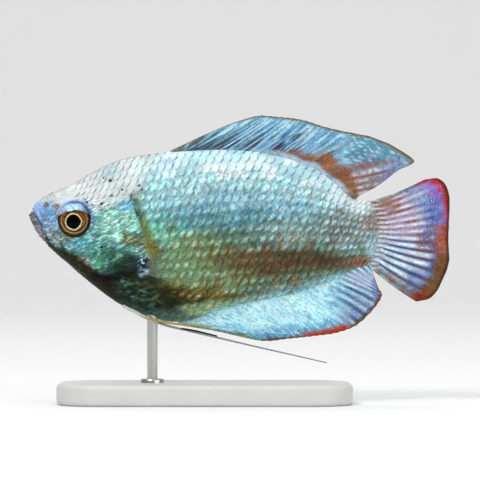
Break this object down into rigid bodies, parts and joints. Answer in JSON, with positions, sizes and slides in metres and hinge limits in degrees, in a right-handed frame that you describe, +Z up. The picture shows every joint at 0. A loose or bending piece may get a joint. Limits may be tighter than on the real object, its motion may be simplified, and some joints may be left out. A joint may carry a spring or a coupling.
{
  "type": "dwarf gourami model",
  "caption": "Still life-size male dwarf gourami, deep flat body with tall fins and thread-like feelers, held level on a plain display stand.",
  "frame": {"origin": "middle of the stand's flat underside, below the fish's middle", "axes": "-X the way the fish faces, -Y its left side, +Z up"},
  "size_m": [0.08, 0.026, 0.0548],
  "materials": {
    "skin": "moist iridescent skin, pale silver back, blue-green flanks, dark throat",
    "eye": "clear gloss over a black pupil and a mottled gold-brown iris",
    "fin": "satin sky-blue webs and rays with orange-red edges",
    "clear_fin": "thin clear web on pale rays",
    "feeler": "satin, gold on the left and silver-grey on the right",
    "stand": "pale grey satin",
    "rod": "satin"
  },
  "bodies": {
    "root": {"head": "skin", "lower_jaw": "skin", "gill_cover_left": "skin", "gill_cover_right": "skin", "trunk": "skin", "tail_stalk": "skin", "eye_left": "eye", "eye_right": "eye", "dorsal_fin": "fin", "anal_fin": "fin", "tail_fin": "fin", "pectoral_fin_left": "clear_fin", "pectoral_fin_right": "clear_fin", "pelvic_feeler_left": "feeler", "pelvic_feeler_right": "feeler", "stand_base": "stand", "stand_rod": "rod"}
  },
  "joints": []
}
